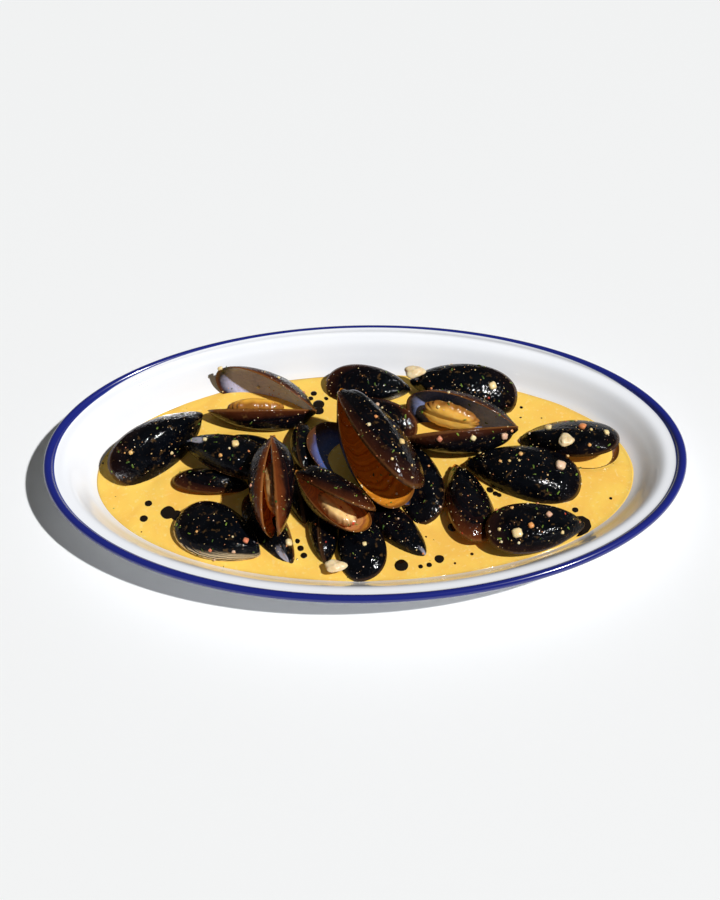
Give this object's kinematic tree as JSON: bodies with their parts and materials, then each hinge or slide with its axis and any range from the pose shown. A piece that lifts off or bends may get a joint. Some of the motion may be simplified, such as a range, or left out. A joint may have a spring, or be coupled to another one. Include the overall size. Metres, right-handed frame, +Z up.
{
  "type": "pan of steamed mussels",
  "caption": "Steamed mussels in a cream and herb sauce, piled in an oval white enamelled dish with a rolled blue rim.",
  "frame": {"origin": "centre of the dish's flat underside", "axes": "+X along the dish, +Z up, the front long side faces -Y"},
  "size_m": [0.3798, 0.2058, 0.066],
  "materials": {
    "white_enamel": "glossy white enamel on steel, cobalt blue on the rolled rim",
    "cream_sauce": "smooth, opaque and slightly oily",
    "mussel_shell": "wet and glossy, with fine growth lines",
    "mussel_meat": "moist",
    "cut_garlic": "moist"
  },
  "bodies": {
    "root": {"broad_front_left": "mussel_shell", "dish": "white_enamel", "gaping_front": "mussel_shell", "gaping_low_left": "mussel_shell", "gaping_right": "mussel_shell", "gaping_upright": "mussel_shell", "garlic_back": "cut_garlic", "garlic_front": "cut_garlic", "garlic_right": "cut_garlic", "half_shell_centre": "mussel_shell", "meat_back_left": "mussel_meat", "meat_back_right": "mussel_meat", "meat_middle": "mussel_meat", "meat_upright": "mussel_meat", "open_back_left": "mussel_shell", "open_back_right": "mussel_shell", "open_centre": "mussel_shell", "open_middle": "mussel_shell", "sauce": "cream_sauce", "sauce_in_half_shell": "cream_sauce", "sauce_in_right_mussel": "cream_sauce", "whole_back_centre": "mussel_shell", "whole_back_middle": "mussel_shell", "whole_back_right": "mussel_shell", "whole_centre": "mussel_shell", "whole_front_centre": "mussel_shell", "whole_front_left": "mussel_shell", "whole_front_right": "mussel_shell", "whole_front_tip": "mussel_shell", "whole_left": "mussel_shell", "whole_low_left": "mussel_shell", "whole_middle": "mussel_shell", "whole_right": "mussel_shell", "whole_small_front": "mussel_shell", "whole_under_back": "mussel_shell", "whole_under_middle": "mussel_shell", "whole_upper_left": "mussel_shell"}
  },
  "joints": []
}
